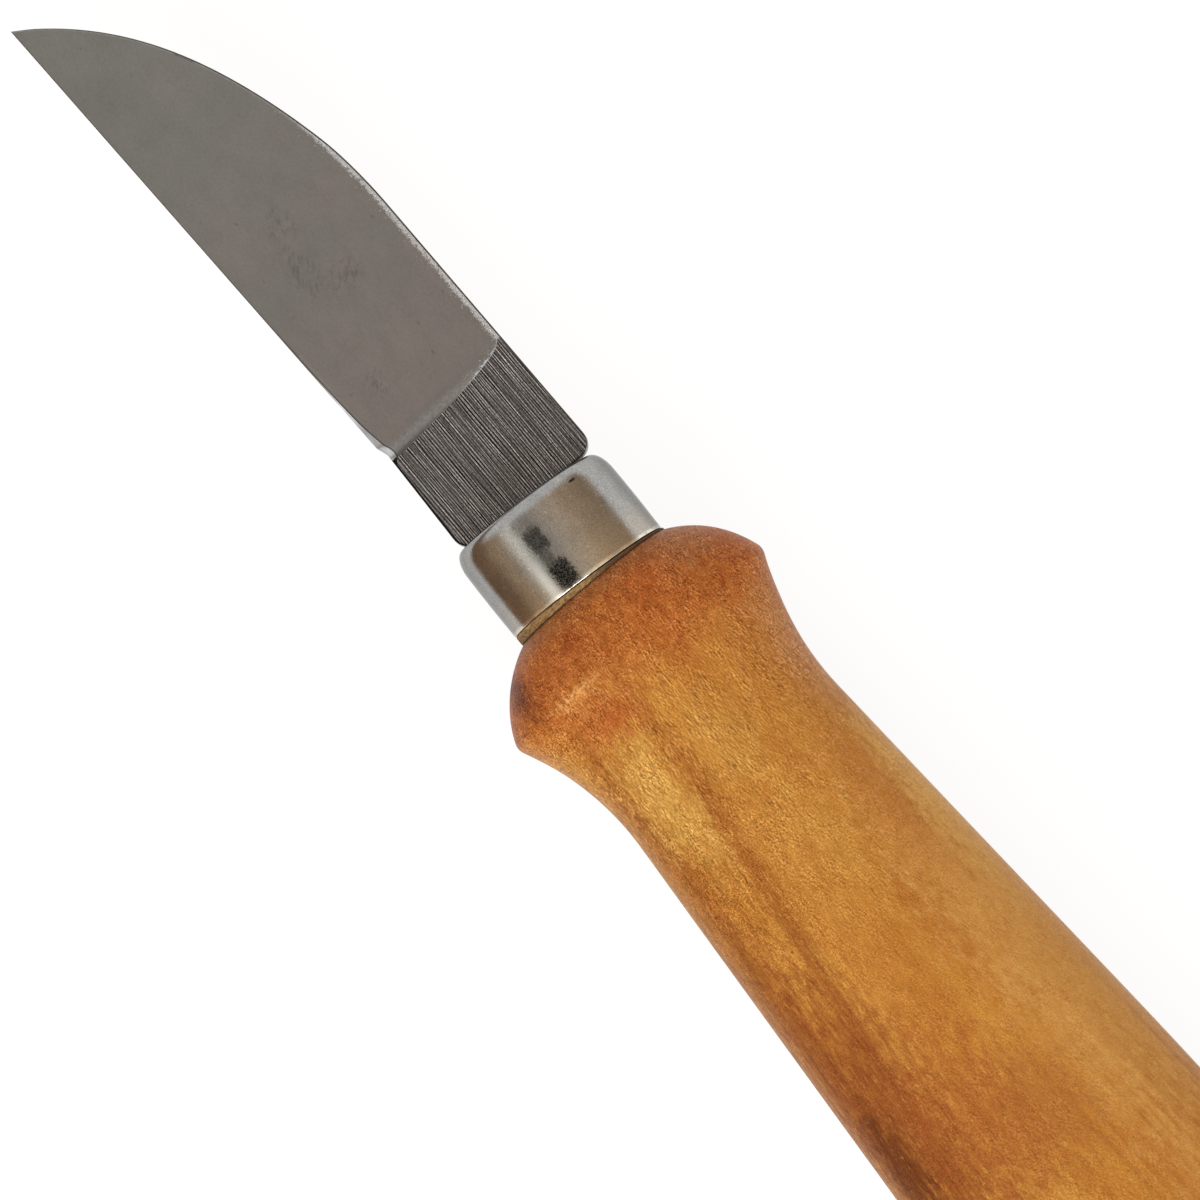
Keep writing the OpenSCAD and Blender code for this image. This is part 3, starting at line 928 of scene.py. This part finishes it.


# Patches of colour in the wood: centre and radii, how strong and the colour. The two pale ones close to the
# spine's side edge (x 34 and 21) are painted sheen, the dark one at the edge's side of the dome (x 10.9) is
# painted shade, and the others are the wood's own tints.
WOOD_PATCHES = [
    ((23.4, -5.7, 5), (7.2, 2.4, 9), 0.85, (202, 154, 75)),
    ((22.8, 0.5, 8), (4.6, 3, 9), 0.6, (189, 137, 64)),
    ((33, 1, 9), (7, 4, 9), 0.5, (200, 149, 68)),
    ((48, 9, 4), (26, 6.5, 12), 0.75, (205, 154, 84)),
    ((32.5, 6.3, 6), (8, 2.2, 9), 0.4, (176, 106, 50)),
    ((52, -7.5, 5), (18, 4.9, 9), 0.9, (140, 76, 35)),
    ((55, -2.8, 8), (9, 4.8, 9), 0.75, (160, 92, 40)),
    ((42, -1.8, 8), (14, 3.4, 9), 0.35, (174, 104, 44)),
    ((13.9, 6.4, 4), (1.1, 2.5, 6), 0.55, (136, 66, 32)),
    ((10.3, -3.7, 6), (1.5, 1.2, 4), 0.7, (138, 60, 24)),
    ((10.8, -6.4, 4), (2, 1.8, 5), 0.4, (172, 90, 42)),
    # painted shade along the edge's side of the dome
    ((10.9, -8.9, 2), (3.2, 1.1, 6), 0.8, (100, 42, 24)),
    ((10.3, 3.4, 6), (1.8, 2.8, 5), 0.45, (164, 78, 32)),
    ((9.9, 6.8, 4), (2.4, 3, 6), 0.7, (172, 116, 72)),
    ((13.4, -5.2, 6), (0.9, 2.6, 6), 0.65, (206, 142, 72)),
    ((17.8, -2.9, 8), (4.2, 0.75, 6), 0.34, (140, 74, 30)),
    ((16.3, -4.6, 6), (1.9, 3, 6), 0.8, (164, 84, 34)),
    ((18.6, 6, 5), (3.6, 2.6, 6), 0.25, (164, 96, 46)),
    ((54, -9.3, 6), (5.6, 1.7, 3.6), 0.7, (96, 50, 24)),
    # painted sheen: the next two pale patches along the spine's side edge
    ((34, 9.2, 3), (11, 1.9, 7), 0.95, (210, 162, 88)),
    ((21, 8.2, 3), (6, 1.8, 6), 0.65, (192, 136, 84)),
    ((57, 1.4, 9), (6, 3.6, 9), 0.6, (162, 98, 46)),
]

# Dark streaks: where each starts and is full, its straight line (x, y and slope), width and strength
WOOD_STREAKS = [
    (17, 24, (22, -2.8, -0.119), 1.6, 0.35),
    (13, 18, (24, -8.1, -0.05), 1.3, 0.35),
    (17, 24, (22, -2.9, -0.119), 0.7, 0.35),
    (15, 20, (24, -8, -0.05), 0.6, 0.3),
]
STREAK_FADE_X, STREAK_CORE = (56, 84), 0.15

# Angles of the wood's lines to the knife's axis
GRAIN_ANGLE, VEIN_ANGLE = 3.4, -4.6

# Fine strokes fan out to the butt. For them y is counted from -FAN_Y and scaled by 1 at FAN_X, by FAN_RATE
# less for each millimetre behind it, and never by less than FAN_LEAST.
FAN_Y, FAN_RATE, FAN_X, FAN_LEAST = 6.4, 0.014, 32, 0.6

# Where each feature of the wood fades in or out along the handle or across it
SPINE_SIDE_Y, RED_FRONT_X, RING_SHADE_X = (1, 9), (12, 18), (9.6, 7.9)
MOTTLE_Y, MOTTLE_X = (-2, 8), (30, 44)
VEINS_Y, VEINS_X = (-1, -5), (20, 32)
GROWTH_Y, GROWTH_AHEAD, GROWTH_X = (-1, 5), 9, (57, 70)
BLOTCHES_X = (18, 13)
STROKES_Y, STROKES_REAR_X = (-4, 9), (24, 44)
STROKES_NECK_X, STROKES_DOME_X = (30, 20), (15, 12)
NECK_X, NECK_REACH = 21, (2, 9)
RIDGE_SHINE = ((13.2, -5.8, 6), (0.42, 3.4, 6))


def streak(look, line, width, wander):
    """1 on a straight line down the handle's face, and 0 further than width from it."""
    x, y, slope = line
    gap = look.y - (look.x - x) * slope - y
    return abs(gap + wander).band(width, STREAK_CORE * width)


def fanned(look):
    """The place with y drawn together to the butt, so that what is drawn along x fans out."""
    narrowed = look.x * -FAN_RATE + (1 + FAN_RATE * FAN_X)
    across = (look.y + FAN_Y) * narrowed.larger(FAN_LEAST)
    return look.value("CombineXYZ", {0: look.x, 1: across, 2: look.z})


def wood_tone(look, tone, wander):
    """Gold to orange along the grain, redder at the front and browner beside the bare ring, where shade is
    painted.
    """
    colour = tone.ramp([
        (0.3, srgb(172, 108, 43)), (0.5, srgb(186, 127, 53)), (0.72, srgb(196, 140, 62)),
    ])
    front = (look.x + wander * 2).band(*RED_FRONT_X, 1, 0)
    return colour.under(
        (srgb(178, 116, 57), look.y.band(*SPINE_SIDE_Y, 0, 0.6)),
        (srgb(170, 93, 40), front * 0.85),
        (srgb(138, 90, 52), look.x.band(*RING_SHADE_X, 0, 0.6)),
    )


def wood_marks(look, colour, wander, ragged):
    """Dark streaks down the handle and patches of other tints."""
    uneven = (wander + ragged) * 0.5
    fade = look.x.band(*STREAK_FADE_X, 1, 0)
    for start, full, line, width, strength in WOOD_STREAKS:
        dark = streak(look, line, width, uneven) * fade * look.x.band(start, full, 0, strength)
        colour = colour.under((srgb(142, 76, 28), dark))
    for centre, radii, strength, tint in WOOD_PATCHES:
        colour = colour.under((srgb(*tint), look.blob(centre, radii, ragged) * strength))
    return colour


def wood_figure(look, colour, grain):
    """A soft mottle, veins on the edge's side, growth lines to the rear and blotches at the front."""
    mottle = look.noise(0.5, 0.9, grain, seed=22, detail=4, rough=0.75)
    mottled = look.y.band(*MOTTLE_Y, 0.85, 0.35) * look.x.band(*MOTTLE_X, 1, 0.6)
    colour = colour.shade(mottle, about_one((0.78, 0.7, 0.6), (1.18, 1.28, 1.4)), mottled)
    veins = look.noise(0.12, 2.8, look.turned(VEIN_ANGLE), seed=30, rough=0.6)
    veined = look.y.band(*VEINS_Y) * look.x.band(*VEINS_X) * 0.8
    colour = colour.shade(veins, about_one((0.74, 0.68, 0.64), (1.14, 1.18, 1.2)), veined)
    growth = look.noise(0.03, 1.4, grain, seed=29, detail=4, rough=0.6)
    lined = (look.x + look.y.band(*GROWTH_Y, 0, GROWTH_AHEAD)).band(*GROWTH_X)
    colour = colour.shade(growth, about_one((0.8, 0.74, 0.68), (1.1, 1.13, 1.18)), lined)
    blotches = look.noise(1.2, 1.5, seed=24, detail=3, rough=0.65)
    blotched = look.x.band(*BLOTCHES_X, 0.15, 0.95)
    return colour.shade(blotches, about_one((0.72, 0.58, 0.48), (1.2, 1.32, 1.45)), blotched)


def wood_flecks(look, grain, fan):
    """Fine strokes along the fan, with flecks across them that are strongest away from the neck, all
    painted lit on one side and shaded on the other.
    """
    # painted light and shade: each stroke and fleck is lit on one side and shaded on the other
    strokes = look.relief((0, 0.06, 0), 3.4, 6.2, fan, seed=13.3, rough=0.8)
    crossing = look.relief((0.055, -0.015, 0), 5.5, 5.5, grain, seed=27.1, rough=0.7)
    return strokes + crossing.centred(abs(look.x - NECK_X).band(*NECK_REACH, 0.4, 0.85))


def stroke_strength(look, grain):
    """How strongly the strokes show: most at the neck and on the edge's side, and in clusters."""
    lively = look.y.band(*STROKES_Y, 1, 0.5) * look.x.band(*STROKES_REAR_X, 0.84, 0.37)
    lively = lively.larger(look.x.band(*STROKES_NECK_X, 0, 0.95))
    clusters = look.noise(0.5, 1, grain, seed=21).band(0.36, 0.62, 0.5, 1)
    return lively * look.x.band(*STROKES_DOME_X, 1, 0.85) * clusters


def wood_strokes(look, colour, fan, lively, flecks, pores):
    """Strokes with painted light and shade, pale dashes that are painted glints, dark dashes, and a broken
    painted highlight on the ridge.
    """
    # the painted light and shade of the strokes and flecks
    colour = colour.shade(flecks, [
        (0.36, (0.36, 0.28, 0.26, 1)), (0.46, (0.88, 0.86, 0.85, 1)),
        (0.54, (1.1, 1.13, 1.18, 1)), (0.64, (1.8, 2.15, 3.2, 1)),
    ], lively)
    tufts = look.noise(1.7, 3.6, fan, seed=25, rough=0.6)
    colour = colour.shade(tufts, [(0.3, (0.75, 0.69, 0.65, 1)), (0.7, (1.23, 1.29, 1.38, 1))], lively)
    # painted glints: pale dashes among the strokes
    pale = look.noise(1.7, 7, fan, seed=28, detail=1).band(0.62, 0.7)
    # a broken painted highlight along the ridge
    broken_highlight = look.noise(5, 3.4, seed=33, detail=1).band(0.47, 0.58)
    broken_highlight = broken_highlight * look.blob(*RIDGE_SHINE, 0, inner=0.2, outer=1.1)
    return colour.under(
        (srgb(226, 176, 104), pale * lively * 0.55),
        (srgb(226, 176, 112), broken_highlight * 0.8),
        (srgb(104, 54, 22), pores * lively * 0.7),
    )


def oiled_wood():
    """The handle: gold to orange hardwood with flecks along the grain, streaks and a redder front."""
    look = Look("oiled_hardwood", IOR=1.48, Specular_IOR_Level=0.08)
    grain, fan = look.turned(GRAIN_ANGLE), fanned(look)
    tone = look.noise(0.05, 0.17, grain, seed=12, detail=3)
    wander = tone.centred(3)
    ragged = look.noise(0.7, 1.6, grain, seed=19, detail=4, rough=0.6).centred(2.2)
    flecks = wood_flecks(look, grain, fan)
    pores = look.noise(1.3, 6.5, fan, seed=14, detail=1).band(0.64, 0.7)
    colour = wood_marks(look, wood_tone(look, tone, wander), wander, ragged)
    colour = wood_figure(look, colour, grain)
    colour = wood_strokes(look, colour, fan, stroke_strength(look, grain), flecks, pores)
    # grime and painted shade in the seam where the dome starts
    colour = colour.under((srgb(52, 30, 16), look.attribute("seam") * 0.8))
    look.bump(flecks - pores * 0.6, 0.03)
    return look.set(Base_Color=colour, Roughness=flecks.band(0.3, 0.7, 0.46, 0.36))


DARK_RING_Y = (0, 2)


def raw_wood():
    """The bare ring behind the ferrule, with painted shade on the spine's side and grime and painted shade
    in its two seams.
    """
    look = Look("bare_hardwood", Roughness=0.8)
    grain = look.noise(7, 3, seed=15, detail=4, rough=0.75)
    colour = grain.ramp([(0.36, srgb(84, 58, 32)), (0.64, srgb(178, 142, 90))])
    # painted shade on the spine's side, where the ring tucks under the ferrule
    shaded = look.y.band(*DARK_RING_Y, 0, 0.8)
    # grime and painted shade in the seams
    colour = colour.under((srgb(72, 46, 26), shaded), (srgb(40, 26, 16), look.attribute("seam")))
    look.bump(grain, 0.03)
    return look.set(Base_Color=colour)


def cured_glue():
    """The glue around the tang, inside the handle."""
    look = Look("cured_glue", Roughness=0.45)
    cloud = look.noise(0.4, 0.8, seed=16, detail=3)
    look.bump(cloud, 0.05)
    return look.set(Base_Color=cloud.ramp([(0.3, srgb(170, 150, 96)), (0.7, srgb(205, 190, 138))]))


# Camera, floor and light

PHOTO_SIDE = 1200
PIXELS_PER_MM = 13.95
VIEW_CENTRE = Vector((8.73, -0.21, 0))
AXIS_ACROSS, AXIS_DOWN = 0.6382, 0.7698
CAMERA_TILT = math.radians(3.7)
CAMERA_DISTANCE = 800
SENSOR_WIDTH = 36
CLIP_START, CLIP_END = 0.01, 20


def to_row(point):
    return AXIS_ORIGIN + Vector(point) * MM


def add_camera():
    """Looks down on the knife, which runs to the lower right, with a slight tilt to the butt."""
    back = Vector((math.sin(CAMERA_TILT), 0, math.cos(CAMERA_TILT)))
    along = Vector((math.cos(CAMERA_TILT), 0, -math.sin(CAMERA_TILT)))
    across = Vector((0, 1, 0))
    right = along * AXIS_ACROSS + across * AXIS_DOWN
    up = across * AXIS_ACROSS - along * AXIS_DOWN
    data = bpy.data.cameras.new("camera")
    data.sensor_width = SENSOR_WIDTH
    data.lens = SENSOR_WIDTH * CAMERA_DISTANCE / (PHOTO_SIDE / PIXELS_PER_MM)
    data.clip_start = CLIP_START
    data.clip_end = CLIP_END
    camera = linked("camera", data)
    turn = Matrix((right, up, back)).transposed()
    camera.matrix_world = Matrix.Translation(to_row(VIEW_CENTRE + back * CAMERA_DISTANCE)) @ turn.to_4x4()
    bpy.context.scene.camera = camera


def sheet(name, corners, material):
    mesh = bpy.data.meshes.new(name)
    mesh.from_pydata(corners, [], [(0, 1, 2, 3)])
    mesh.materials.append(material)
    return linked(name, mesh)


def empty_tree(owner):
    owner.use_nodes = True
    owner.node_tree.nodes.clear()
    return Tree(owner.node_tree)


def seen(tree):
    """1 for rays from the camera, in reflections and through glass."""
    rays = ("Is Camera Ray", "Is Glossy Ray", "Is Transmission Ray")
    camera, glossy, through = [tree.value("LightPath", {}, ray) for ray in rays]
    return (camera + glossy).math("ADD", through, clamp=True)


FLOOR_SIDE, FLOOR_GLOW, FLOOR_SHADED = 8, 0.9, 0.15
FLOOR_PAPER = (0.72, 0.67, 0.6, 1)


def add_floor():
    """A white floor that keeps a faint shadow, because most of its white is glow."""
    material = bpy.data.materials.new("white_floor")
    tree = empty_tree(material)
    shaded = tree.value("BsdfDiffuse", {"Color": grey(FLOOR_SHADED)})
    glow = tree.value("Emission", {"Strength": FLOOR_GLOW})
    white = tree.value("AddShader", {0: shaded, 1: glow})
    paper = tree.value("BsdfDiffuse", {"Color": FLOOR_PAPER})
    chosen = tree.value("MixShader", {0: seen(tree), 1: paper, 2: white})
    tree.node("OutputMaterial", {0: chosen})
    half = FLOOR_SIDE / 2
    corners = [(-half, -half, 0), (half, -half, 0), (half, half, 0), (-half, half, 0)]
    floor = sheet("floor", corners, material)


# The studio as it goes round the knife's axis, by degrees from straight up towards the spine's side
STUDIO = [
    (-90, (0.34, 0.22, 0.13)), (-72, (0.58, 0.4, 0.26)), (-56, (0.62, 0.49, 0.37)),
    (-49, (1, 0.92, 0.8)), (-44, (1.32, 1.26, 1.14)), (-39, (1.32, 1.26, 1.14)),
    (-31, (0.5, 0.47, 0.41)), (-12, (0.46, 0.41, 0.36)), (6, (0.7, 0.6, 0.5)),
    (24, (0.79, 0.62, 0.46)), (45, (0.62, 0.45, 0.3)), (90, (0.42, 0.31, 0.21)),
]
WALL_FROM, WALL_TO = 0.42, 0.72


def add_world():
    """A soft studio: tan overhead, brown at the sides, with a bright strip and a white wall at each end."""
    world = bpy.data.worlds.new("studio")
    bpy.context.scene.world = world
    tree = empty_tree(world)
    x, y, z = tree.split(tree.value("TexCoord", {}, "Generated"))
    turn = y.math("ARCTAN2", z).math("DIVIDE", 2 * math.pi) + 0.5
    colour = turn.ramp([(angle / 360 + 0.5, (*tone, 1)) for angle, tone in STUDIO])
    colour = colour.under((grey(1), abs(x).band(WALL_FROM, WALL_TO)))
    tree.node("OutputWorld", {0: tree.value("Background", {"Color": colour})})


MAT_NEAR, MAT_FAR, MAT_ENDS = -30, -3900, 3900
MAT_HEIGHT = 0.2
MAT_COLOUR, MAT_ROUGHNESS = (0.24, 0.14, 0.075, 1), 0.9


def add_mat():
    """A brown mat that lies beside the knife, on the edge's side, and shows only in its gloss."""
    z = MAT_HEIGHT - AXIS_ORIGIN.z / MM
    corners = [(-MAT_ENDS, MAT_FAR), (MAT_ENDS, MAT_FAR), (MAT_ENDS, MAT_NEAR), (-MAT_ENDS, MAT_NEAR)]
    look = Look("brown_mat", Base_Color=MAT_COLOUR, Roughness=MAT_ROUGHNESS)
    mat = sheet("side_mat", [to_row((x, y, z)) for x, y in corners], look.material)
    mat.visible_camera = False
    mat.visible_diffuse = False
    mat.visible_shadow = False


LAMP_DIRECTION = Vector((0.66, -0.32, 0.68))
LAMP_DISTANCE, LAMP_SIDE, LAMP_WATTS = 900, 600, 4.5


def add_lamp():
    """One large soft lamp above the butt, a little to the edge's side."""
    data = bpy.data.lights.new("soft_lamp", "AREA")
    data.shape = "SQUARE"
    data.size = LAMP_SIDE * MM
    data.energy = LAMP_WATTS
    lamp = linked("soft_lamp", data)
    lamp.location = to_row(VIEW_CENTRE + LAMP_DIRECTION.normalized() * LAMP_DISTANCE)
    lamp.rotation_euler = LAMP_DIRECTION.to_track_quat("Z", "Y").to_euler()
    lamp.visible_camera = False


bpy.context.scene.view_settings.view_transform = "Standard"
add_camera()
add_world()
add_lamp()
add_floor()
add_mat()
build_blade(ground_steel(), brushed_steel(), honed_steel(), dark_rim())
build_ferrule(nickel_plating())
build_handle(oiled_wood(), raw_wood())
glue_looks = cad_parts["tang_adhesive"].data.materials
glue_looks.clear()
glue_looks.append(cured_glue())
